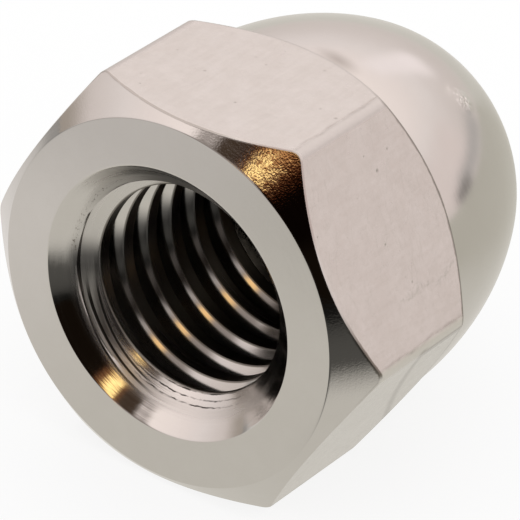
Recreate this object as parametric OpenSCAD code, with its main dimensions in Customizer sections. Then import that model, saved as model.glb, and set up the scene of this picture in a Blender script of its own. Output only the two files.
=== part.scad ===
// Domed cap nut, M8 coarse thread, 13 mm across flats, turned from one length of hexagon bar.
// It lies on one flat: the thread axis runs along Y, the mouth faces -Y and the dome +Y.
// The origin is the centre of the bearing face, on the thread axis.

/* [Hexagon] */
// Width across two opposite flats
across_flats = 13; // [10:0.5:20]
// How far the turning takes each edge of the hexagon in from a sharp corner
corner_relief = 0.08; // [0.02:0.02:0.3]
// From the bearing face to the foot of the dome
hex_height = 6.57; // [5:0.01:9]
// Step from each flat in to the edge of the bearing face
bearing_inset = 0.25; // [0.1:0.05:0.6]
// Slope of the chamfer around the bearing face, from that face
bearing_chamfer_angle = 42; // [20:1:50]
// Slope of the chamfer around the foot of the dome, from the bearing face
dome_chamfer_angle = 45; // [20:1:50]

/* [Dome] */
// From the bearing face to the crown of the dome
total_height = 15; // [12.5:0.5:24]
// Step from each flat in to the foot of the dome
dome_inset = 0.05; // [0.05:0.05:0.5]
// How much smaller the crown's radius is than the dome's foot
crown_tightening = 0.66; // [0.5:0.01:1.5]

/* [Threaded hole] */
// Diameter inside the thread's crests
minor_diameter = 6.9; // [5:0.1:8.4]
// Widening of the countersink at the mouth, on each side
mouth_flare = 1.2; // [0.4:0.1:1.4]
// Full angle of the countersink
countersink_angle = 90; // [60:5:120]
// Full angle of the drill's point at the blind end
drill_point_angle = 118; // [90:1:140]
// Metal between the drill's point and the crown
crown_wall = 1.5; // [0.8:0.1:3]

/* [Hidden] */
$fn = 180;
// Overshoot of a cutter past the face it opens
cut_over = 1;

flat_radius = across_flats / 2;
corner_radius = flat_radius / cos(30) - corner_relief;
bearing_radius = flat_radius - bearing_inset;
bearing_chamfer = (corner_radius - bearing_radius) * tan(bearing_chamfer_angle);

foot_radius = flat_radius - dome_inset;
dome_chamfer = (corner_radius - foot_radius) * tan(dome_chamfer_angle);

// The crown is an arc about the axis. The side of the dome is a larger arc that
// leaves the foot along the axis and meets the crown's arc with no corner.
crown_radius = foot_radius - crown_tightening;
crown_centre = total_height - crown_radius;
crown_rise = crown_centre - hex_height;
side_radius = (pow(foot_radius, 2) + pow(crown_rise, 2) - pow(crown_radius, 2)) / (2 * crown_tightening);
side_centre = foot_radius - side_radius;
join_angle = atan2(crown_rise, -side_centre);
join_height = hex_height + side_radius * sin(join_angle);

minor_radius = minor_diameter / 2;
mouth_radius = minor_radius + mouth_flare;
countersink_depth = mouth_flare / tan(countersink_angle / 2);
drill_point = minor_radius / tan(drill_point_angle / 2);
bore_end = total_height - crown_wall - drill_point;

// A band of the half plane right of the axis, from one height to another
module band(from, to) {
    translate([0, from])
        square([across_flats, to - from]);
}

module hexagon_outline() {
    polygon([
        [0, 0],
        [bearing_radius, 0],
        [corner_radius, bearing_chamfer],
        [corner_radius, hex_height - dome_chamfer],
        [foot_radius, hex_height],
        [0, hex_height]
    ]);
}

module dome_outline() {
    intersection() {
        band(hex_height, join_height);
        translate([side_centre, hex_height])
            circle(side_radius);
    }
    // below the join this circle lies inside the other
    intersection() {
        band(hex_height, total_height + cut_over);
        translate([0, crown_centre])
            circle(crown_radius);
    }
}

// What the lathe leaves of the bar
module turned_blank() {
    rotate_extrude() {
        hexagon_outline();
        dome_outline();
    }
}

module hexagon_bar() {
    cylinder(h = total_height + cut_over, r = flat_radius / cos(30), $fn = 6);
}

// Drilled and countersunk hole, at the diameter of the thread's crests
module blind_hole() {
    rotate_extrude()
        polygon([
            [0, -cut_over],
            [mouth_radius, -cut_over],
            [mouth_radius, 0],
            [minor_radius, countersink_depth],
            [minor_radius, bore_end],
            [0, bore_end + drill_point]
        ]);
}

module cap_nut() {
    color([0.79, 0.77, 0.74])
        rotate([-90, 0, 0])
            difference() {
                intersection() {
                    hexagon_bar();
                    turned_blank();
                }
                blind_hole();
            }
}

cap_nut();
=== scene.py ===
import math
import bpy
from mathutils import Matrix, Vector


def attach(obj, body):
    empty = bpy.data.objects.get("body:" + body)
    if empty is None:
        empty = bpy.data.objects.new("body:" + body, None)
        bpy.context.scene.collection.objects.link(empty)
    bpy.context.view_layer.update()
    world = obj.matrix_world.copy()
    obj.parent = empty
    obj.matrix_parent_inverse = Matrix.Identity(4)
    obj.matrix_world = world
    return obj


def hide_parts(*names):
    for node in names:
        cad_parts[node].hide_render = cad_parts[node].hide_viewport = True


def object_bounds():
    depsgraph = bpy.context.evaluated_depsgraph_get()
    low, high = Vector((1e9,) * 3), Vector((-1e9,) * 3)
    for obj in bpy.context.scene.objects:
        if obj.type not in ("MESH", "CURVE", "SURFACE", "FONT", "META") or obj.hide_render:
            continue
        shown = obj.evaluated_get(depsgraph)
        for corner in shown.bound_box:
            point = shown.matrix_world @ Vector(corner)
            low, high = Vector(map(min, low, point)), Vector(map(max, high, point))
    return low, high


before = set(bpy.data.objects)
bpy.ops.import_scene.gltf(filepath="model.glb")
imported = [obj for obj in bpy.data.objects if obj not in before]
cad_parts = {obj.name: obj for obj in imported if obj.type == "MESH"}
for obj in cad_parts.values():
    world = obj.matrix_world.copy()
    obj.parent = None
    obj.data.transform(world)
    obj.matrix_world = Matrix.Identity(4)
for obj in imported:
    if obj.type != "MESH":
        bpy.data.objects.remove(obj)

from types import SimpleNamespace

import bmesh
import bpy
from mathutils import Matrix, Vector

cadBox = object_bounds()
scene = bpy.context.scene
millimetre = 0.001


# Camera: a long lens close to the nut, looking down into the mouth from the right.
# Angles are degrees, and distances millimetres but for the near and far limits, in metres.
view = {
    "azimuth": 33.71,
    "elevation": 31.29,
    "roll": 4.79,
    "distance": 157.1,
    "slideRight": 2.926,
    "slideUp": 1.396,
    "lens": 350.7,
    "sensor": 36,
    "near": 0.01,
    "far": 10,
}


def makeCamera():
    azimuth, elevation = math.radians(view["azimuth"]), math.radians(view["elevation"])
    back = Vector((
        math.sin(azimuth) * math.cos(elevation),
        -math.cos(azimuth) * math.cos(elevation),
        math.sin(elevation),
    ))
    level = Vector((math.cos(azimuth), math.sin(azimuth), 0))
    right = Matrix.Rotation(math.radians(view["roll"]), 3, back) @ level
    up = back.cross(right)
    place = back * view["distance"] + right * view["slideRight"] + up * view["slideUp"]

    data = bpy.data.cameras.new("camera")
    data.sensor_width = view["sensor"]
    data.lens = view["lens"]
    data.clip_start = view["near"]
    data.clip_end = view["far"]
    camera = bpy.data.objects.new("camera", data)
    scene.collection.objects.link(camera)
    turn = Matrix((right, up, back)).transposed().to_4x4()
    camera.matrix_world = Matrix.Translation(place * millimetre) @ turn
    scene.camera = camera


makeCamera()
print("camera placed")


# Node helpers

def place(tree, kind, **settings):
    node = tree.nodes.new(kind)
    for name, value in settings.items():
        setattr(node, name, value)
    return node


def feed(tree, socket, value):
    if isinstance(value, bpy.types.NodeSocket):
        tree.links.new(value, socket)
    elif value is not None:
        socket.default_value = value


def calc(tree, operation, *values):
    node = place(tree, "ShaderNodeMath", operation=operation)
    for socket, value in zip(node.inputs, values):
        feed(tree, socket, value)
    return node.outputs[0]


def add(tree, a, b):
    return calc(tree, "ADD", a, b)


def take(tree, a, b):
    return calc(tree, "SUBTRACT", a, b)


def times(tree, a, b):
    return calc(tree, "MULTIPLY", a, b)


def over(tree, a, b):
    return calc(tree, "DIVIDE", a, b)


def rest(tree, share):
    return take(tree, 1.0, share)


def product(tree, *values):
    result = values[0]
    for value in values[1:]:
        result = times(tree, result, value)
    return result


def between(tree, value, low, high):
    return calc(tree, "MINIMUM", calc(tree, "MAXIMUM", value, low), high)


def vecCalc(tree, operation, a, b=None, scale=None):
    node = place(tree, "ShaderNodeVectorMath", operation=operation)
    feed(tree, node.inputs[0], a)
    if b is not None:
        feed(tree, node.inputs[1], b)
    if scale is not None:
        feed(tree, node.inputs["Scale"], scale)
    return node.outputs["Value" if operation in ("DISTANCE", "LENGTH") else "Vector"]


def joinVector(tree, x, y, z=0.0):
    node = place(tree, "ShaderNodeCombineXYZ")
    for socket, value in zip(node.inputs, (x, y, z)):
        feed(tree, socket, value)
    return node.outputs[0]


def splitVector(tree, vector):
    node = place(tree, "ShaderNodeSeparateXYZ")
    feed(tree, node.inputs[0], vector)
    return node.outputs


# Object coordinates in millimetres
def objectSpot(tree):
    coords = place(tree, "ShaderNodeTexCoord").outputs["Object"]
    return vecCalc(tree, "SCALE", coords, scale=1 / millimetre)


# The nut. Lengths are millimetres and angles degrees.
nut = {
    "size": {
        "acrossFlats": 13.0,
        "edgeRound": 0.42,        # the six long edges
        "bearingRadius": 6.24,
        "frontAngle": 42.0,       # chamfer round the bearing face, from that face
        "flatEnd": 6.5,           # where the dome's chamfer cuts the middle of a flat
        "backAngle": 45.7,
        "footRadius": 6.45,       # dome
        "sideRadius": 11.4,
        "sideHeight": 6.57,
        "crownRadius": 5.79,
        "totalHeight": 15.0,
        "mouthRadius": 4.66,      # countersink
        "mouthAngle": 45.0,
        "plainCone": 0.5,         # depth of the cone that no turn of the thread reaches
        "crestRadius": 3.47,      # thread
        "grooveDepth": 0.54,
        "pitch": 1.25,
        "threadStart": -0.067,
        "threadEnd": 10.6,
        "runOut": 1.2,
        "holeEnd": 11.427,
        "drillAngle": 59.0,
        "mouthSoft": 0.02,        # how far each corner is eased
        "bearingSoft": 0.025,
        "chamferSoft": 0.05,
        "backSoft": 0.03,
    },
    # one turn of the thread, as shares of the pitch, from the mouth side of a crest
    "thread": {
        "turns": 9.375,
        "leadIn": 0.0625,         # turns before the start, so that the first row reaches the cone
        "grooveMiddle": 16.5 / 24,
        "floorHalf": 1.5 / 24,
        "flank": 6 / 24,
        "crestSoft": 0.06,        # rounding of the crest's edges, as a share of the groove's depth
        "coneSoft": 0.05,         # rounding where the grooves run out into the countersink
    },
    "mesh": {
        "columnsPerFlat": 40,
        "cornerCrowding": 0.75,   # draws the columns in towards the six edges
        "rowsPerTurn": 32,        # a whole number of rows in all, or the thread's seam stays open
        "weld": 0.0008,
        "sharpAngle": 40,
    },
    # rows of faces along each stretch of the outline
    "rows": {
        "drillPoint": 8,
        "bore": 4,
        "countersink": 8,
        "mouthCorner": 3,
        "bearingFace": 8,
        "bearingCorner": 4,
        "frontChamfer": 10,
        "frontCorner": 5,
        "flats": 20,
        "backCorner": 4,
        "backChamfer": 8,
        "domeSide": 24,
        "crown": 26,
    },
    # the turned attribute on flats, on their rims and on turned faces
    "turned": {"flat": 0.0, "rim": 0.5, "face": 1.0},
}


def buildNutTree():
    tree = bpy.data.node_groups.new("turnedCapNut", "GeometryNodeTree")
    tree.interface.new_socket("Geometry", in_out="INPUT", socket_type="NodeSocketGeometry")
    tree.interface.new_socket("Geometry", in_out="OUTPUT", socket_type="NodeSocketGeometry")
    for name in nut["size"]:
        tree.interface.new_socket(name, in_out="INPUT", socket_type="NodeSocketFloat")
    tree.interface.new_socket("material", in_out="INPUT", socket_type="NodeSocketMaterial")
    size = place(tree, "NodeGroupInput").outputs
    thread, nutMesh, rows, turned = nut["thread"], nut["mesh"], nut["rows"], nut["turned"]
    pieces = []

    def radians(name):
        return calc(tree, "RADIANS", size[name])

    # across each strip x runs round the axis, and y runs along the outline
    grid = splitVector(tree, place(tree, "GeometryNodeInputPosition").outputs[0])
    along = add(tree, grid[1], 0.5)
    flatCount = times(tree, add(tree, grid[0], 0.5), 6.0)
    whole = calc(tree, "FLOOR", flatCount)
    part = take(tree, flatCount, whole)
    crowd = calc(tree, "SINE", times(tree, part, 2 * math.pi))
    part = take(tree, part, times(tree, crowd, nutMesh["cornerCrowding"] / (2 * math.pi)))
    angle = times(tree, add(tree, whole, part), math.pi / 3)

    # Radius of the rounded hexagon at this angle
    flat = times(tree, size["acrossFlats"], 0.5)
    fromMiddle = calc(tree, "ABSOLUTE", take(tree, part, 0.5))
    fromEdge = times(tree, take(tree, 0.5, fromMiddle), math.pi / 3)
    edgeCentre = over(tree, take(tree, flat, size["edgeRound"]), math.cos(math.pi / 6))
    sideways = times(tree, edgeCentre, calc(tree, "SINE", fromEdge))
    inRound = take(
        tree, times(tree, size["edgeRound"], size["edgeRound"]), times(tree, sideways, sideways))
    inRound = calc(tree, "SQRT", calc(tree, "MAXIMUM", inRound, 0.0))
    onRound = add(tree, times(tree, edgeCentre, calc(tree, "COSINE", fromEdge)), inRound)
    onFlat = over(tree, flat, calc(tree, "COSINE", take(tree, math.pi / 6, fromEdge)))
    roundEnds = calc(
        tree, "ARCTAN2", times(tree, size["edgeRound"], 0.5),
        add(tree, edgeCentre, times(tree, size["edgeRound"], math.cos(math.pi / 6))))
    isRound = calc(tree, "LESS_THAN", fromEdge, roundEnds)
    hexRadius = add(tree, times(tree, isRound, onRound), times(tree, rest(tree, isRound), onFlat))

    # Corners of the outline at this angle, as (radius, height)
    frontSlope = calc(tree, "TANGENT", radians("frontAngle"))
    backSlope = calc(tree, "TANGENT", radians("backAngle"))
    footRise = times(tree, take(tree, flat, size["footRadius"]), backSlope)
    footHeight = add(tree, size["flatEnd"], footRise)
    mouth = joinVector(tree, size["mouthRadius"], 0.0)
    bearing = joinVector(tree, size["bearingRadius"], 0.0)
    frontHeight = times(tree, take(tree, hexRadius, size["bearingRadius"]), frontSlope)
    front = joinVector(tree, hexRadius, frontHeight)
    backHeight = take(tree, size["flatEnd"], times(tree, take(tree, hexRadius, flat), backSlope))
    back = joinVector(tree, hexRadius, backHeight)
    foot = joinVector(tree, size["footRadius"], footHeight)
    coneDepth = size["plainCone"]
    mouthSlope = calc(tree, "TANGENT", radians("mouthAngle"))
    coneEndRadius = take(tree, size["mouthRadius"], times(tree, coneDepth, mouthSlope))
    coneEnd = joinVector(tree, coneEndRadius, coneDepth)

    def towards(corner, other, distance):
        way = vecCalc(tree, "NORMALIZE", vecCalc(tree, "SUBTRACT", other, corner))
        return vecCalc(tree, "ADD", corner, vecCalc(tree, "SCALE", way, scale=distance))

    def blend(a, b, share):
        step = vecCalc(tree, "SCALE", vecCalc(tree, "SUBTRACT", b, a), scale=share)
        return vecCalc(tree, "ADD", a, step)

    def strip(count, outline, surface, fromRim=1.0):
        mesh = place(tree, "GeometryNodeMeshGrid")
        columns = 6 * nutMesh["columnsPerFlat"]
        counts = {"Size X": 1.0, "Size Y": 1.0, "Vertices X": columns + 1, "Vertices Y": count + 1}
        for name, value in counts.items():
            mesh.inputs[name].default_value = value
        radius, height, _ = splitVector(tree, outline)
        x = times(tree, radius, calc(tree, "COSINE", angle))
        z = times(tree, radius, calc(tree, "SINE", angle))
        last = mesh
        for name, value in (("turned", turned[surface]), ("fromRim", fromRim)):
            mark = place(tree, "GeometryNodeStoreNamedAttribute", data_type="FLOAT", domain="POINT")
            feed(tree, mark.inputs["Geometry"], last.outputs[0])
            mark.inputs["Name"].default_value = name
            feed(tree, mark.inputs["Value"], value)
            last = mark
        # the fields read the flat grid, so it is bent into shape last
        move = place(tree, "GeometryNodeSetPosition")
        feed(tree, move.inputs["Geometry"], last.outputs[0])
        feed(tree, move.inputs["Position"], joinVector(tree, x, height, z))
        pieces.append(move.outputs[0])

    def straight(count, start, end, surface, *rims):
        # rows crowd towards both ends, so that shading stays flat up to the corners
        ease = times(tree, take(tree, 1.0, calc(tree, "COSINE", times(tree, along, math.pi))), 0.5)
        outline = blend(start, end, ease)
        fromRim = 1.0
        for rim in rims:
            fromRim = calc(tree, "MINIMUM", fromRim, vecCalc(tree, "DISTANCE", outline, rim))
        strip(count, outline, surface, fromRim)

    def corner(count, start, middle, end, surface, fromRim=1.0):
        curve = blend(blend(start, middle, along), blend(middle, end, along), along)
        strip(count, curve, surface, fromRim)

    # Blind end of the hole: drill point, plain bore, thread, countersink
    boreEnd = joinVector(tree, size["crestRadius"], size["holeEnd"])
    drillDepth = over(tree, size["crestRadius"], calc(tree, "TANGENT", radians("drillAngle")))
    drillPoint = joinVector(tree, 0.0, add(tree, size["holeEnd"], drillDepth))
    threadStop = joinVector(tree, size["crestRadius"], size["threadEnd"])
    straight(rows["drillPoint"], drillPoint, boreEnd, "face")
    straight(rows["bore"], boreEnd, threadStop, "face")

    # Each row of the thread follows the helix, and stops where the hole has no thread.
    turn = take(tree, times(tree, rest(tree, along), thread["turns"]), thread["leadIn"])
    turnBack = times(tree, take(tree, angle, math.pi), 1 / (2 * math.pi))
    helix = add(tree, size["threadStart"], times(tree, size["pitch"], take(tree, turn, turnBack)))
    height = between(tree, helix, coneDepth, size["threadEnd"])
    aside = calc(tree, "PINGPONG", take(tree, turn, thread["grooveMiddle"]), 0.5)
    reach = thread["floorHalf"] + thread["flank"]
    groove = calc(tree, "MINIMUM", over(tree, take(tree, reach, aside), thread["flank"]), 1.0)
    groove = calc(tree, "SMOOTH_MAX", groove, 0.0, thread["crestSoft"])
    beforeEnd = take(tree, size["threadEnd"], height)
    fade = between(tree, over(tree, beforeEnd, size["runOut"]), 0.0, 1.0)
    depth = times(tree, times(tree, groove, fade), size["grooveDepth"])
    cone = take(tree, size["mouthRadius"], times(tree, height, mouthSlope))
    cut = add(tree, size["crestRadius"], depth)
    radius = calc(tree, "SMOOTH_MAX", cone, cut, thread["coneSoft"])
    strip(int(thread["turns"] * nutMesh["rowsPerTurn"]), joinVector(tree, radius, height), "face")

    mouthIn = towards(mouth, coneEnd, size["mouthSoft"])
    mouthOut = towards(mouth, bearing, size["mouthSoft"])
    straight(rows["countersink"], coneEnd, mouthIn, "face")
    corner(rows["mouthCorner"], mouthIn, mouth, mouthOut, "face")

    # Outside: bearing face, front chamfer, flats, back chamfer, dome
    bearingIn = towards(bearing, mouth, size["bearingSoft"])
    bearingOut = towards(bearing, front, size["bearingSoft"])
    straight(rows["bearingFace"], mouthOut, bearingIn, "face")
    corner(rows["bearingCorner"], bearingIn, bearing, bearingOut, "face")
    frontIn = towards(front, bearing, size["chamferSoft"])
    frontOut = towards(front, back, size["chamferSoft"])
    straight(rows["frontChamfer"], bearingOut, frontIn, "face", front)
    corner(rows["frontCorner"], frontIn, front, frontOut, "rim", 0.0)
    backIn = towards(back, front, size["backSoft"])
    backOut = towards(back, foot, size["backSoft"])
    straight(rows["flats"], frontOut, backIn, "flat", front, back)
    corner(rows["backCorner"], backIn, back, backOut, "rim", 0.0)
    straight(rows["backChamfer"], backOut, foot, "face", back)

    sideCentre = take(tree, size["footRadius"], size["sideRadius"])
    crownCentre = take(tree, size["totalHeight"], size["crownRadius"])
    footLean = over(tree, take(tree, footHeight, size["sideHeight"]), size["sideRadius"])
    footAngle = calc(tree, "ARCSINE", footLean)
    joinRise = take(tree, crownCentre, size["sideHeight"])
    joinAngle = calc(tree, "ARCTAN2", joinRise, times(tree, sideCentre, -1.0))
    lean = add(tree, footAngle, times(tree, along, take(tree, joinAngle, footAngle)))
    side = joinVector(
        tree,
        add(tree, sideCentre, times(tree, size["sideRadius"], calc(tree, "COSINE", lean))),
        add(tree, size["sideHeight"], times(tree, size["sideRadius"], calc(tree, "SINE", lean))))
    strip(rows["domeSide"], side, "face", vecCalc(tree, "DISTANCE", side, back))
    lean = add(tree, joinAngle, times(tree, along, take(tree, math.pi / 2, joinAngle)))
    crown = joinVector(
        tree,
        times(tree, size["crownRadius"], calc(tree, "COSINE", lean)),
        add(tree, crownCentre, times(tree, size["crownRadius"], calc(tree, "SINE", lean))))
    strip(rows["crown"], crown, "face")

    join = place(tree, "GeometryNodeJoinGeometry")
    for piece in reversed(pieces):
        tree.links.new(piece, join.inputs[0])
    weld = place(tree, "GeometryNodeMergeByDistance")
    feed(tree, weld.inputs["Geometry"], join.outputs[0])
    weld.inputs["Distance"].default_value = nutMesh["weld"]
    outward = place(tree, "GeometryNodeFlipFaces")
    feed(tree, outward.inputs["Mesh"], weld.outputs[0])
    shrink = place(tree, "GeometryNodeTransform")
    feed(tree, shrink.inputs["Geometry"], outward.outputs[0])
    shrink.inputs["Scale"].default_value = (millimetre,) * 3
    real = place(tree, "GeometryNodeRealizeInstances")
    feed(tree, real.inputs[0], shrink.outputs[0])
    paint = place(tree, "GeometryNodeSetMaterial")
    feed(tree, paint.inputs["Geometry"], real.outputs[0])
    feed(tree, paint.inputs["Material"], size["material"])
    result = place(tree, "NodeGroupOutput")
    feed(tree, result.inputs[0], paint.outputs[0])
    return tree


# Steel. Colours are linear, lengths are millimetres, and angles run in radians from +X towards +Z.
# The corner of the chamfer round the gleam holds a painted reflection, and the band down the left
# of the hole a painted shade. They are painted on, so they stay dark under any other light.
steel = {
    "colour": {
        "metal": (0.62, 0.60, 0.57),
        "film": (0.56, 0.535, 0.50),       # faint handling marks
        "dirt": (0.16, 0.14, 0.115),       # dirt in pits and along some edges, with painted shade and a painted reflection
        "drilled": (0.20, 0.185, 0.165),   # painted shade on the drilled bore between the thread's grooves
        "darkCorner": (0.19, 0.105, 0.085),   # painted reflection: dark top right corner of the chamfer, round the gleam
        "darkBand": (0.17, 0.165, 0.16),   # painted shade down the left of the hole
        "bare": (0.80, 0.775, 0.755),      # painted highlight on the bruise; the bruise itself is real wear, in the bump
        "lowEdge": (0.70, 0.68, 0.64),     # painted highlight on the long edge at the right
        # painted shade on the two top long edges
        "highEdge": (0.575, 0.555, 0.53),
        "scored": (0.05, 0.045, 0.04),     # in the cuts round the first turn
    },
    "height": {
        "drawn": 0.003,          # flats: lines of the drawn bar
        "mottle": 0.010,         # flats: slow unevenness
        "peel": 0.0040,          # flats: fine unevenness
        "pit": 0.012,
        "scratch": 0.0010,
        "longScratch": 0.0045,
        "toolMark": 0.0012,      # rings left by the turning tool
        "coneMark": 0.0022,      # the same on the countersink
        "tornMark": 0.010,       # the same on the first turn of the thread
        "ripple": 0.0009,
        "grain": 0.0031,         # chamfer: tumbled grain
        "scuff": 0.035,          # bruise on the dome
    },
    "roughness": {
        "flat": 0.24,
        "turned": 0.075,
        "dome": 0.14,
        "cone": 0.09,
        "least": 0.03,
        "addPeel": 0.16,
        "addLongEdge": 0.2,
        "addRings": 0.08,
        "addConeRings": 0.12,
        "addBrushed": 0.2,       # brushed top of the countersink
        "addTorn": 0.16,
        "addHole": 0.05,
    },
    # scale, detail and roughness
    "noise": {
        "drawn": (1.0, 3.0, 0.6),
        "mottle": (1.5, 3.0, 0.6),
        "peel": (7.0, 3.0, 0.6),
        "scratchPatch": (0.6, 2.0, 0.5),
        "wavy": (0.9, 2.0, 0.5),
        "rings": (1.0, 3.0, 0.6),
        "ripple": (4.0, 2.0, 0.6),
        "grain": (16.0, 1.0, 0.6),
        "scuff": (6.0, 2.0, 0.5),
        "film": (1.1, 5.0, 0.7),
        "ragged": (2.2, 3.0, 0.6),
        "burr": (15.0, 2.0, 0.6),
        "bruise": (5.0, 2.0, 0.6),
    },
    # how much a pattern is drawn out along each axis
    "stretch": {
        "drawn": (5.0, 0.8, 5.0),
        "rings": (8.0, 8.0, 0.8),          # radius, height and angle
        "scratchTurn": (0.5, 0.9, 0.4),
        "scratch": (0.35, 3.2, 1.3),
    },
    # where a mark ends, and the width over which it fades
    "edge": {
        "front": (2.5, 1.0),               # y: the mouth's half of the nut
        "chamfer": (6.27, 0.04),           # radius
        "dome": (4.4, 0.3),                # radius
        "holeReach": (4.7, 0.4),           # from the axis, or from the crown's centre
        "holeStart": (0.5, 0.25),          # y
        "coneRadius": (4.62, 0.06),
        "firstTurn": (1.85, 0.3),          # height along the helix
        "hair": (0.008, 0.012),
        "scratchPatch": (0.52, 0.08),
        "longScratchRight": (3.7, 0.2),    # x
        "longScratchAbove": (0.2, 0.2),    # z
        "grainLow": (1.5, 3.0),            # z
        "grainBeyond": (1.2, 0.25),        # angle
        "scuff": (0.38, 0.5),              # distance
        "film": (0.52, 0.3),
        "rim": (0.055, 0.09),              # distance from a flat's rim
        "rightSide": (3.6, 1.5),           # x
        "rimBelow": (1.6, 1.6),            # z
        "rimAbove": (0.05, 0.2),           # z
        "topFlat": (6.0, 0.3),             # z
        "topLineLeft": (1.6, 1.2),         # x
        "topRim": (0.012, 0.03),
        "longEdge": (3.52, 0.08),          # distance from the middle of a flat
        "reflectedShadowRight": (4.2, 1.0),         # x
        "reflectedShadowBelow": (-0.05, 0.2),       # z
        "pitted": (0.60, 0.06),
        "burrRadius": (4.4, 0.2),
        "footShade": (0.25, 0.6),             # distance
        "turnLine": (0.55, 0.4),
        "coneLine": (0.80, 0.3),
        "coneLineRadius": (3.94, 0.06),
        "drilled": (nut["size"]["crestRadius"] + 0.05, 0.04),
        "gleam": (0.52, 0.7),              # distance
        "bruise": (0.56, 0.08),
        "paintedLitEdgeRight": (5.5, 1.0),        # x
        "paintedLitEdgeBelow": (0.35, 0.2),       # z
        "highEdge": (4.5, 1.0),            # z
    },
    # the middle of a mark, half its width, and the width over which each side fades
    "band": {
        "cone": (nut["size"]["mouthRadius"], 0.05, 0.05),   # radius and height together
        "torn": (3.9, 1.8, 1.0),                    # angle
        "gouged": (4.2, 1.0, 0.9),                  # angle
        "longScratch": (-2.05, 0.07, 0.14),         # across the flat
        "longScratchAlong": (4.8, 1.8, 0.8),        # y
        "crease": (-3.50, 0.05, 0.12),              # across the flat
        "reflectedShadow": (0.0, 0.18, 0.34),                # from the rolled line
        "upright": (3.42, 0.20, 0.16),              # across the flat
        "uprightAlong": (4.9, 1.4, 0.3),            # y
        "burrAlong": (0.58, 0.05, 0.06),            # y
        "burr": (2.75, 0.55, 0.5),                  # angle
        "lowLeft": (3.95, 0.5, 0.3),                # angle
        "coneLine": (-1.5, 0.55, 0.5),              # angle
        "darkBand": (3.25, 0.15, 0.24),             # angle
        "darkCorner": (0.96, 0.27, 0.16),           # angle
        "brushed": (1.8, 0.75, 0.5),                # angle
    },
    "share": {
        "filmTurned": 0.15,
        "filmFlat": 0.3,                   # added on the flats
        "linedMost": 0.3,
        "grainLow": 0.55,                  # how much weaker the grain is low down
        "grainBeyond": 0.3,                # how much of it is left past the corner
        "backRim": 0.08,
        "backRimRight": 0.55,              # added on the right
        "frontRim": 0.9,
        "topLine": 0.42,
        "crease": 0.08,
        "creaseRagged": 0.9,
        "reflectedShadow": 0.42,
        "burrs": 0.85,
        "pits": 0.4,
        "footShade": 0.45,
        "darkCorner": 0.9,
    },
    "mark": {
        "gleamAt": (2.8, 0.2, 5.8),
        "scuffAt": (3.66, 10.25, 4.5),
        "footShadeAt": (0.55, 6.83, 6.33),    # painted shade: dark spot at the dome's foot, with x halved
        "footShadeLong": 0.5,
        "pitCell": 1.5,
        "pitSize": 0.13,
        "pitLeast": 0.001,
        "hairCell": 0.8,
        "linedStart": 0.45,
        "linedGain": 1.2,
        "raggedStart": 0.36,
        "raggedRim": 0.15,                 # how far the dirt wanders from a rim
        "raggedTopRim": 0.12,
        "raggedCut": 0.2,
        "wavy": 0.25,
        "wanderWavy": 4.0,
        "wanderDrawn": 0.4,
        "brokenStart": 0.38,
        "brokenGain": 5.0,
        "gleamGrain": 0.9,
        "gleamRipple": 1.8,
        "reflectedShadowStart": 3.5,                  # across the flat
        "reflectedShadowHeight": 3.4,
        "reflectedShadowRise": 0.208,
        "reflectedShadowPower": 1.5,
        "turnLinePitch": 0.17,
        "coneLinePitch": 0.16,
        "coneLineWander": 0.06,
    },
}
steelEdge, steelBand = steel["edge"], steel["band"]
steelShare, steelMark = steel["share"], steel["mark"]


def noise(tree, vector, scale, detail, roughness):
    node = place(tree, "ShaderNodeTexNoise", noise_dimensions="3D")
    values = {"Vector": vector, "Scale": scale, "Detail": detail, "Roughness": roughness}
    for name, value in values.items():
        feed(tree, node.inputs[name], value)
    return node.outputs["Fac"]


def cells(tree, vector, scale, feature="F1"):
    node = place(tree, "ShaderNodeTexVoronoi", feature=feature)
    feed(tree, node.inputs["Vector"], vector)
    feed(tree, node.inputs["Scale"], scale)
    return node


# 1 where the value is under the edge, falling to 0 over the width soft
def softStep(tree, value, edge, soft):
    node = place(tree, "ShaderNodeMapRange", interpolation_type="SMOOTHSTEP")
    values = {"Value": value, "From Min": edge + soft / 2, "From Max": edge - soft / 2}
    for name, item in values.items():
        feed(tree, node.inputs[name], item)
    return node.outputs[0]


def past(tree, value, edge, soft):
    return rest(tree, softStep(tree, value, edge, soft))


def band(tree, value, middle, half, soft):
    return softStep(tree, calc(tree, "ABSOLUTE", take(tree, value, middle)), half, soft)


def bandRound(tree, angle, middle, half, soft, halfTurn=math.pi):
    # the shortest way round to the middle
    aside = calc(tree, "WRAP", take(tree, angle, middle), halfTurn, -halfTurn)
    return softStep(tree, calc(tree, "ABSOLUTE", aside), half, soft)


def mixColour(tree, share, a, b):
    node = place(tree, "ShaderNodeMix", data_type="RGBA")
    feed(tree, node.inputs["Factor"], share)
    for name, item in (("A", a), ("B", b)):
        feed(tree, node.inputs[name], (*item, 1) if isinstance(item, tuple) else item)
    return node.outputs["Result"]


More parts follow.
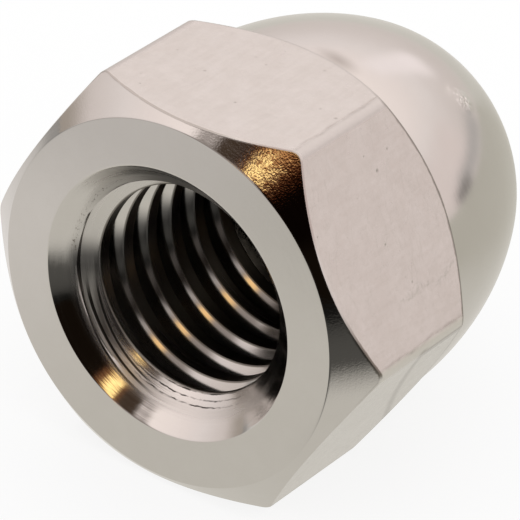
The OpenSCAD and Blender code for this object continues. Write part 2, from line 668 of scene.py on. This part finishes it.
# The parts of the surface, each as a mask from 0 to 1, and the coordinates that the marks read
def findPlaces(tree):
    spot = objectSpot(tree)
    x, y, z = splitVector(tree, spot)
    radius = calc(tree, "SQRT", add(tree, times(tree, x, x), times(tree, z, z)))
    around = calc(tree, "ARCTAN2", z, x)
    turned = place(tree, "ShaderNodeAttribute", attribute_name="turned").outputs["Fac"]
    fromRim = place(tree, "ShaderNodeAttribute", attribute_name="fromRim").outputs["Fac"]
    flat = rest(tree, turned)
    front = softStep(tree, y, *steelEdge["front"])
    chamfer = product(tree, turned, front, past(tree, radius, *steelEdge["chamfer"]))
    dome = product(tree, turned, rest(tree, front), past(tree, radius, *steelEdge["dome"]))

    # inside the hole: closer to the axis, or to the crown's centre, than any outer face
    crownCentre = nut["size"]["totalHeight"] - nut["size"]["crownRadius"]
    above = calc(tree, "MAXIMUM", take(tree, y, crownCentre), 0.0)
    inward = calc(tree, "SQRT", add(tree, times(tree, radius, radius), times(tree, above, above)))
    hole = softStep(tree, inward, *steelEdge["holeReach"])
    hole = times(tree, hole, past(tree, y, *steelEdge["holeStart"]))
    cone = times(
        tree, softStep(tree, radius, *steelEdge["coneRadius"]),
        band(tree, add(tree, y, radius), *steelBand["cone"]))

    # first turn of the thread
    turnShare = calc(tree, "FRACT", over(tree, around, 2 * math.pi))
    helixY = add(tree, y, times(tree, turnShare, nut["size"]["pitch"]))
    torn = product(
        tree, hole, softStep(tree, helixY, *steelEdge["firstTurn"]),
        bandRound(tree, around, *steelBand["torn"]))
    drilled = times(tree, hole, softStep(tree, radius, *steelEdge["drilled"]))

    # across each flat, from one long edge to the next
    within = calc(tree, "WRAP", take(tree, around, math.pi / 2), math.pi / 6, -math.pi / 6)
    crossFlat = times(tree, radius, calc(tree, "SINE", within))
    fromMiddle = calc(tree, "ABSOLUTE", crossFlat)
    longEdge = times(tree, flat, past(tree, fromMiddle, *steelEdge["longEdge"]))
    fromScuff = vecCalc(tree, "DISTANCE", spot, steelMark["scuffAt"])
    scuffed = softStep(tree, fromScuff, *steelEdge["scuff"])
    return SimpleNamespace(
        spot=spot, x=x, y=y, z=z, radius=radius, around=around, helixY=helixY, crossFlat=crossFlat,
        turned=turned, fromRim=fromRim, flat=flat, front=front, chamfer=chamfer, dome=dome,
        hole=hole, cone=cone, torn=torn, drilled=drilled, longEdge=longEdge, scuffed=scuffed)


def makePatterns(tree, at):
    vectors = {}
    for name, axes in (("drawn", (at.x, at.y, at.z)), ("rings", (at.radius, at.y, at.around))):
        amounts = steel["stretch"][name]
        vectors[name] = joinVector(tree, *(times(tree, a, b) for a, b in zip(axes, amounts)))
    made = {}
    for name, values in steel["noise"].items():
        made[name] = noise(tree, vectors.get(name, at.spot), *values)
    made["wavy"] = times(tree, take(tree, made["wavy"], 0.5), steelMark["wavy"])
    ragged = take(tree, made["ragged"], steelMark["raggedStart"])
    made["ragged"] = calc(tree, "MAXIMUM", ragged, 0.0)
    pitCell = cells(tree, at.spot, steelMark["pitCell"])
    pitSize = times(tree, splitVector(tree, pitCell.outputs["Color"])[0], steelMark["pitSize"])
    pitSize = calc(tree, "MAXIMUM", pitSize, steelMark["pitLeast"])
    inPit = rest(tree, over(tree, pitCell.outputs["Distance"], pitSize))
    made["pit"] = calc(tree, "MAXIMUM", inPit, 0.0)
    return SimpleNamespace(**made)


# Flats: drawn bar, then tumbled, so slightly uneven with pits and stray scratches
def flatHeight(tree, at, pattern):
    slanted = place(tree, "ShaderNodeMapping")
    feed(tree, slanted.inputs["Vector"], at.spot)
    slanted.inputs["Rotation"].default_value = steel["stretch"]["scratchTurn"]
    slanted.inputs["Scale"].default_value = steel["stretch"]["scratch"]
    hair = cells(tree, slanted.outputs[0], steelMark["hairCell"], "DISTANCE_TO_EDGE")
    scratch = times(
        tree, softStep(tree, hair.outputs["Distance"], *steelEdge["hair"]),
        past(tree, pattern.scratchPatch, *steelEdge["scratchPatch"]))

    # a long wandering scratch low on the right flat
    wander = add(
        tree, times(tree, pattern.wavy, steelMark["wanderWavy"]),
        times(tree, take(tree, pattern.drawn, 0.5), steelMark["wanderDrawn"]))
    broken = take(tree, pattern.peel, steelMark["brokenStart"])
    broken = between(tree, times(tree, broken, steelMark["brokenGain"]), 0.0, 1.0)
    longScratch = product(
        tree, broken,
        band(tree, add(tree, at.crossFlat, wander), *steelBand["longScratch"]),
        band(tree, at.y, *steelBand["longScratchAlong"]),
        past(tree, at.x, *steelEdge["longScratchRight"]),
        past(tree, at.z, *steelEdge["longScratchAbove"]))

    height = 0.0
    for name in ("mottle", "peel", "drawn"):
        height = add(tree, height, times(tree, getattr(pattern, name), steel["height"][name]))
    height = take(tree, height, times(tree, pattern.pit, steel["height"]["pit"]))
    height = take(tree, height, times(tree, scratch, steel["height"]["scratch"]))
    return add(tree, height, times(tree, longScratch, steel["height"]["longScratch"]))


# Turned faces: rings of the tool and a little chatter, quieter down the hole
def turnedHeight(tree, at, pattern):
    height = add(
        tree, times(tree, pattern.rings, steel["height"]["toolMark"]),
        times(tree, pattern.ripple, steel["height"]["ripple"]))
    height = times(tree, height, rest(tree, at.hole))
    gouged = times(tree, at.torn, bandRound(tree, at.around, *steelBand["gouged"]))
    lowGrain = softStep(tree, at.z, *steelEdge["grainLow"])
    lowGrain = rest(tree, times(tree, lowGrain, steelShare["grainLow"]))
    grainBefore = times(
        tree, softStep(tree, at.around, *steelEdge["grainBeyond"]), 1.0 - steelShare["grainBeyond"])
    grainy = product(tree, lowGrain, add(tree, steelShare["grainBeyond"], grainBefore), at.chamfer)
    for texture, mask, name in (
        (pattern.rings, at.cone, "coneMark"),
        (pattern.rings, gouged, "tornMark"),
        (pattern.grain, grainy, "grain"),
        (pattern.scuff, at.scuffed, "scuff"),
    ):
        height = add(tree, height, product(tree, texture, mask, steel["height"][name]))
    return height


# Dirt in the pits, in the creases, along some rims and where the thread meets the countersink;
# painted shade along the flats' back rims and at the dome's foot; a painted reflection of a shadow
# across the lower right flat
def findDirtAndShade(tree, at, pattern):
    # painted shade along the flats' back rims, where they meet the dome, strongest on the right; a
    # dark line on the right flat's front rim, low down
    fromRaggedRim = take(tree, at.fromRim, times(tree, pattern.ragged, steelMark["raggedRim"]))
    rightSide = past(tree, at.x, *steelEdge["rightSide"])
    backRim = times(tree, rest(tree, at.front), add(
        tree, steelShare["backRim"], times(tree, rightSide, steelShare["backRimRight"])))
    frontRim = product(
        tree, rightSide, at.front,
        softStep(tree, at.z, *steelEdge["rimBelow"]),
        past(tree, at.z, *steelEdge["rimAbove"]),
        steelShare["frontRim"])
    rimLine = times(tree, softStep(tree, fromRaggedRim, *steelEdge["rim"]), add(tree, backRim, frontRim))

    fromRaggedRim = take(tree, at.fromRim, times(tree, pattern.ragged, steelMark["raggedTopRim"]))
    topLine = product(
        tree, at.front,
        past(tree, at.z, *steelEdge["topFlat"]),
        softStep(tree, at.x, *steelEdge["topLineLeft"]),
        softStep(tree, fromRaggedRim, *steelEdge["topRim"]),
        steelShare["topLine"])

    # crease beside each long edge, and a painted reflection of a shadow: a curved line across the
    # lower right flat
    strength = times(tree, pattern.ragged, steelShare["creaseRagged"])
    crease = product(
        tree, at.flat,
        band(tree, add(tree, at.crossFlat, pattern.wavy), *steelBand["crease"]),
        add(tree, steelShare["crease"], strength))
    # painted reflection of the nut's shadow on the floor, across the lower right flat
    intoReflectedShadow = calc(tree, "MAXIMUM", take(tree, steelMark["reflectedShadowStart"], at.crossFlat), 0.0)
    reflectedShadowRise = calc(tree, "POWER", intoReflectedShadow, steelMark["reflectedShadowPower"])
    reflectedShadowRise = times(tree, reflectedShadowRise, steelMark["reflectedShadowRise"])
    fromReflectedShadow = take(tree, at.y, add(tree, steelMark["reflectedShadowHeight"], reflectedShadowRise))
    upright = times(
        tree, band(tree, at.crossFlat, *steelBand["upright"]),
        band(tree, at.y, *steelBand["uprightAlong"]))
    reflectedShadow = product(
        tree, at.flat,
        calc(tree, "MAXIMUM", band(tree, fromReflectedShadow, *steelBand["reflectedShadow"]), upright),
        past(tree, at.x, *steelEdge["reflectedShadowRight"]),
        softStep(tree, at.z, *steelEdge["reflectedShadowBelow"]),
        steelShare["reflectedShadow"])

    burrs = product(
        tree, past(tree, pattern.burr, *steelEdge["pitted"]),
        softStep(tree, at.radius, *steelEdge["burrRadius"]),
        band(tree, at.y, *steelBand["burrAlong"]),
        band(tree, at.around, *steelBand["burr"]),
        steelShare["burrs"])
    # painted shade in the spot where the top flat meets the dome's foot
    longSpot = joinVector(tree, times(tree, at.x, steelMark["footShadeLong"]), at.y, at.z)
    fromFootShade = vecCalc(tree, "DISTANCE", longSpot, steelMark["footShadeAt"])
    dirt = times(tree, softStep(tree, fromFootShade, *steelEdge["footShade"]), steelShare["footShade"])
    pits = product(tree, pattern.pit, at.flat, steelShare["pits"])
    for mark in (pits, rimLine, topLine, crease, reflectedShadow, burrs):
        dirt = calc(tree, "MAXIMUM", dirt, mark)
    return dirt


# Dark lines round the first turn, at the lower left, and round the lower edge of the countersink
def findScores(tree, at, pattern):
    turnWave = calc(tree, "SINE", times(tree, at.helixY, 2 * math.pi / steelMark["turnLinePitch"]))
    turnLine = product(
        tree, past(tree, turnWave, *steelEdge["turnLine"]), at.torn,
        bandRound(tree, at.around, *steelBand["lowLeft"]))
    wandering = add(tree, at.radius, times(tree, pattern.ripple, steelMark["coneLineWander"]))
    coneWave = calc(tree, "SINE", times(tree, wandering, 2 * math.pi / steelMark["coneLinePitch"]))
    cut = steelMark["raggedCut"]
    coneLine = product(
        tree, at.cone, past(tree, coneWave, *steelEdge["coneLine"]),
        softStep(tree, at.radius, *steelEdge["coneLineRadius"]),
        band(tree, at.around, *steelBand["coneLine"]),
        calc(tree, "MINIMUM", pattern.ragged, cut), 1 / cut)
    return calc(tree, "MAXIMUM", turnLine, coneLine)


def steelColours(tree, at, pattern):
    film = softStep(tree, pattern.film, *steelEdge["film"])
    lined = times(tree, take(tree, pattern.drawn, steelMark["linedStart"]), steelMark["linedGain"])
    lined = times(tree, at.flat, between(tree, lined, 0.0, steelShare["linedMost"]))
    filmShare = add(tree, times(tree, at.flat, steelShare["filmFlat"]), steelShare["filmTurned"])
    filmShare = add(tree, times(tree, film, filmShare), lined)

    fromGleam = vecCalc(tree, "DISTANCE", at.spot, steelMark["gleamAt"])
    for texture, name in ((pattern.grain, "gleamGrain"), (pattern.ripple, "gleamRipple")):
        fromGleam = add(tree, fromGleam, times(tree, take(tree, texture, 0.5), steelMark[name]))
    layers = {
        "film": filmShare,
        # painted shade on the crests of the bore, between the grooves
        "drilled": at.drilled,
        # painted shade: a band down the left of the hole
        "darkBand": times(tree, at.hole, bandRound(tree, at.around, *steelBand["darkBand"])),
        # painted reflection: the dark corner of the chamfer round the gleam
        "darkCorner": product(
            tree, at.chamfer, band(tree, at.around, *steelBand["darkCorner"]),
            past(tree, fromGleam, *steelEdge["gleam"]), steelShare["darkCorner"]),
        # painted highlight on the bruise on the dome
        "bare": times(tree, at.scuffed, past(tree, pattern.bruise, *steelEdge["bruise"])),
        # painted highlight on the long edge at the right
        "lowEdge": product(
            tree, at.longEdge, past(tree, at.x, *steelEdge["paintedLitEdgeRight"]),
            softStep(tree, at.z, *steelEdge["paintedLitEdgeBelow"])),
        # painted shade on the two top long edges
        "highEdge": times(tree, at.longEdge, past(tree, at.z, *steelEdge["highEdge"])),
        "dirt": findDirtAndShade(tree, at, pattern),
        "scored": findScores(tree, at, pattern),
    }
    colour = steel["colour"]["metal"]
    for name, share in layers.items():
        colour = mixColour(tree, share, colour, steel["colour"][name])
    return colour


def steelRoughnesses(tree, at, pattern):
    rough = steel["roughness"]
    ringShare = add(tree, rough["addRings"], times(tree, at.cone, rough["addConeRings"]))
    brushed = times(tree, at.cone, band(tree, at.around, *steelBand["brushed"]))
    smooth = rough["turned"]
    for mask, amount in (
        (at.dome, rough["dome"] - rough["turned"]),
        (at.cone, rough["cone"] - rough["turned"]),
        (take(tree, pattern.rings, 0.5), ringShare),
        (brushed, rough["addBrushed"]),
        (calc(tree, "MAXIMUM", at.torn, at.drilled), rough["addTorn"]),
        (at.hole, rough["addHole"]),
    ):
        smooth = add(tree, smooth, times(tree, mask, amount))
    smooth = calc(tree, "MAXIMUM", smooth, rough["least"])
    dull = add(tree, rough["flat"], times(tree, take(tree, pattern.peel, 0.5), rough["addPeel"]))
    dull = add(tree, dull, times(tree, at.longEdge, rough["addLongEdge"]))
    return add(tree, times(tree, dull, at.flat), times(tree, smooth, at.turned))


def makeSteel():
    material = bpy.data.materials.new("polishedSteel")
    material.use_nodes = True
    tree = material.node_tree
    shader = tree.nodes["Principled BSDF"]
    shader.inputs["Metallic"].default_value = 1.0
    at = findPlaces(tree)
    pattern = makePatterns(tree, at)

    bump = place(tree, "ShaderNodeBump")
    feed(tree, bump.inputs["Height"], add(
        tree, times(tree, flatHeight(tree, at, pattern), at.flat),
        times(tree, turnedHeight(tree, at, pattern), at.turned)))
    bump.inputs["Distance"].default_value = millimetre
    bump.inputs["Strength"].default_value = 1.0
    feed(tree, shader.inputs["Normal"], bump.outputs["Normal"])
    feed(tree, shader.inputs["Base Color"], steelColours(tree, at, pattern))
    feed(tree, shader.inputs["Roughness"], steelRoughnesses(tree, at, pattern))
    return material


def makeNut(material):
    holder = bpy.data.objects.new("capNutTree", bpy.data.meshes.new("capNutTree"))
    scene.collection.objects.link(holder)
    tree = buildNutTree()
    modifier = holder.modifiers.new("turnedCapNut", "NODES")
    modifier.node_group = tree
    for socket in tree.interface.items_tree:
        if socket.in_out == "INPUT" and socket.name in nut["size"]:
            modifier[socket.identifier] = nut["size"][socket.name]
        elif socket.name == "material":
            modifier[socket.identifier] = material
    bpy.context.view_layer.update()
    evaluated = holder.evaluated_get(bpy.context.evaluated_depsgraph_get())
    made = bpy.data.meshes.new_from_object(evaluated)
    bpy.data.objects.remove(holder)
    made.name = "capNut"
    made.shade_smooth()
    made.set_sharp_from_angle(angle=math.radians(nut["mesh"]["sharpAngle"]))
    piece = bpy.data.objects.new("capNut", made)
    scene.collection.objects.link(piece)
    return piece


capNut = makeNut(makeSteel())
print("nut built:", len(capNut.data.vertices), "points,", len(capNut.data.polygons), "faces")
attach(capNut, "root")
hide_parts("cap_nut")


# White floor and sky, and what only the steel's reflections show: a table round the nut with
# the floor's painted shade, and a cloth tent with a dark opening, where the camera stands.

def stageOnly(mesh, name, reflectionOnly=False):
    piece = bpy.data.objects.new(name, mesh)
    scene.collection.objects.link(piece)
    if reflectionOnly:
        piece.visible_camera = False
        piece.visible_diffuse = False
        piece.visible_shadow = False
    return piece


def emptyMaterial(name):
    material = bpy.data.materials.new(name)
    material.use_nodes = True
    material.node_tree.nodes.clear()
    return material, material.node_tree


def endMaterial(tree, surface):
    out = place(tree, "ShaderNodeOutputMaterial")
    feed(tree, out.inputs["Surface"], surface)


def glowingMaterial(tree, colour, strength=1.0):
    glow = place(tree, "ShaderNodeEmission")
    feed(tree, glow.inputs["Color"], colour)
    feed(tree, glow.inputs["Strength"], strength)
    endMaterial(tree, glow.outputs[0])


def squareMesh(name, reach, height, material):
    mesh = bpy.data.meshes.new(name)
    corners = [(-reach, -reach), (reach, -reach), (reach, reach), (-reach, reach)]
    mesh.from_pydata([(x, y, height) for x, y in corners], [], [(0, 1, 2, 3)])
    mesh.materials.append(material)
    return mesh


floor = {
    "shadow": 0.18,           # how much of the floor's white a shadow can take away
    "reach": 2.0,             # metres
}


def makeFloor():
    material, tree = emptyMaterial("paleFloor")
    paper = place(tree, "ShaderNodeBsdfDiffuse")
    paper.inputs["Color"].default_value = (floor["shadow"],) * 3 + (1,)
    glow = place(tree, "ShaderNodeEmission")
    rays = place(tree, "ShaderNodeLightPath").outputs
    seen = calc(tree, "MAXIMUM", rays["Is Camera Ray"], rays["Is Glossy Ray"])
    seen = calc(tree, "MAXIMUM", seen, rays["Is Transmission Ray"])
    feed(tree, glow.inputs["Strength"], times(tree, seen, 1.0 - floor["shadow"]))
    both = place(tree, "ShaderNodeAddShader")
    feed(tree, both.inputs[0], paper.outputs[0])
    feed(tree, both.inputs[1], glow.outputs[0])
    endMaterial(tree, both.outputs[0])
    stageOnly(squareMesh("floor", floor["reach"], cadBox[0].z, material), "floor")


# Lengths are millimetres but for the reach, in metres. A pair is an edge and the width of its fade.
table = {
    "reach": 0.4,
    "lift": 0.02,
    "colour": (0.76, 0.735, 0.685),
    "front": (0.88, 0.845, 0.82),          # in front, towards the left
    "back": (0.65, 0.625, 0.56),
    "backLeft": (0.76, 0.735, 0.68),
    "leftEdge": (-9.0, 12.0),              # x
    "backLeftEdge": (-5.0, 12.0),          # x
    "backEdge": (20.0, 14.0),              # y
    "openingFront": (-6.2, 6.0),           # y: from here on the table mirrors the dark opening
    "openingRight": (3.2, 3.5),            # x
    "openingShare": 0.86,
    "far": (-30.0, 50.0),                  # y: further out in front, on the right
    "farShare": 0.9,
    "farLeft": (-45.0, 80.0),              # x
    "farLeftFront": (6.0, 16.0),           # y
    "farLeftShare": 0.5,
    "ahead": (-13.0, 7.0),                 # y: in front, on the left
    "aheadShare": 0.14,
}


# painted shade: the table's grey and its darker fields stand for the shaded floor in reflections
def makeTable():
    material, tree = emptyMaterial("shadedFloorCard")
    x, y, _ = splitVector(tree, objectSpot(tree))
    right = past(tree, x, *table["openingRight"])
    farLeft = softStep(tree, x, *table["farLeft"])
    farLeft = times(tree, farLeft, softStep(tree, y, *table["farLeftFront"]))
    light = 1.0
    for mask, name in (
        (times(tree, softStep(tree, y, *table["openingFront"]), right), "openingShare"),
        (times(tree, softStep(tree, y, *table["far"]), right), "farShare"),
        (farLeft, "farLeftShare"),
        (times(tree, softStep(tree, y, *table["ahead"]), rest(tree, right)), "aheadShare"),
    ):
        light = times(tree, light, rest(tree, times(tree, mask, table[name])))
    onLeft = softStep(tree, x, *table["leftEdge"])
    colour = mixColour(tree, onLeft, table["colour"], table["front"])
    onLeft = softStep(tree, x, *table["backLeftEdge"])
    back = mixColour(tree, onLeft, table["back"], table["backLeft"])
    colour = mixColour(tree, softStep(tree, y, *table["backEdge"]), back, colour)
    glowingMaterial(tree, colour, light)
    height = cadBox[0].z + table["lift"] * millimetre
    stageOnly(squareMesh("table", table["reach"], height, material), "table", True)


# The tent is in metres and degrees. The ramp gives the cloth's colour by elevation. A patch
# gives the azimuth and elevation of its middle, half its width and height, and its soft edge.
tent = {
    "radius": 0.4,
    "segments": 96,
    "rings": 48,
    "hem": -0.04,
    "ramp": [
        (-12, (0.78, 0.76, 0.72)),
        (4, (0.84, 0.76, 0.73)),
        (14, (0.95, 0.86, 0.84)),
        (24, (1.10, 1.01, 1.00)),
        (33, (1.20, 1.08, 1.06)),
        (45, (1.34, 1.21, 1.18)),
        (70, (1.25, 1.15, 1.12)),
    ],
    "patches": [
        {"at": (140, 11), "half": (24, 11), "soft": 12, "colour": (1.02, 0.90, 0.88)},
        {"at": (189, 23), "half": (5, 11), "soft": 6, "colour": (1.28, 1.17, 1.18)},
        {"at": (161, 3.5), "half": (14, 3.2), "soft": 6, "colour": (0.60, 0.57, 0.56)},
        {"at": (149, 1.5), "half": (5, 2.6), "soft": 4, "colour": (0.30, 0.28, 0.27)},
        {"at": (-88, 0), "half": (13, 7), "soft": 12, "colour": (0.52, 0.46, 0.41)},
        {"at": (-14, 22), "half": (17, 26), "soft": 9, "colour": (0.38, 0.33, 0.31)},
        {"at": (34, 16), "half": (29, 30), "soft": 9, "colour": (0.008, 0.005, 0.003)},
        {"at": (2, 49), "half": (21, 6), "soft": 7, "colour": (0.07, 0.045, 0.03)},
        {"at": (19, 0), "half": (11, 7), "soft": 8, "colour": (0.085, 0.075, 0.07)},
        {"at": (11, 42.5), "half": (12, 4.5), "soft": 5, "colour": (0.26, 0.105, 0.045)},
        {"at": (11, 43.9), "half": (8.0, 2.0), "soft": 3, "colour": (2.5, 1.75, 0.72)},
        {"at": (180, 6), "half": (1.0, 3.5), "soft": 2, "colour": (2.2, 2.0, 1.95)},
        {"at": (-7.5, 21), "half": (4.5, 4.0), "soft": 4, "colour": (1.5, 0.95, 0.42)},
    ],
}


def makeTent():
    material, tree = emptyMaterial("tentCloth")
    coords = place(tree, "ShaderNodeTexCoord").outputs["Object"]
    x, y, z = splitVector(tree, vecCalc(tree, "NORMALIZE", coords))
    azimuth = calc(tree, "DEGREES", calc(tree, "ARCTAN2", x, times(tree, y, -1.0)))
    elevation = calc(tree, "DEGREES", calc(tree, "ARCSINE", z))
    ramp = tent["ramp"]
    colour = ramp[0][1]
    for (start, _), (end, shade) in zip(ramp, ramp[1:]):
        share = over(tree, take(tree, elevation, start), end - start)
        colour = mixColour(tree, between(tree, share, 0.0, 1.0), colour, shade)
    for patch in tent["patches"]:
        across = bandRound(tree, azimuth, patch["at"][0], patch["half"][0], patch["soft"], 180.0)
        upright = band(tree, elevation, patch["at"][1], patch["half"][1], patch["soft"])
        colour = mixColour(tree, times(tree, across, upright), colour, patch["colour"])
    glowingMaterial(tree, colour)

    cloth = bmesh.new()
    bmesh.ops.create_uvsphere(
        cloth, u_segments=tent["segments"], v_segments=tent["rings"], radius=tent["radius"])
    below = [v for v in cloth.verts if v.co.z < tent["hem"]]
    bmesh.ops.delete(cloth, geom=below, context="VERTS")
    mesh = bpy.data.meshes.new("tent")
    cloth.to_mesh(mesh)
    cloth.free()
    mesh.materials.append(material)
    stageOnly(mesh, "tent", True)


def makeSky():
    world = bpy.data.worlds.new("sky")
    scene.world = world
    world.use_nodes = True
    background = world.node_tree.nodes["Background"]
    background.inputs["Color"].default_value = (1, 1, 1, 1)
    background.inputs["Strength"].default_value = 1.0


makeFloor()
makeTable()
makeTent()
makeSky()
scene.view_settings.view_transform = "Standard"
print("stage set")
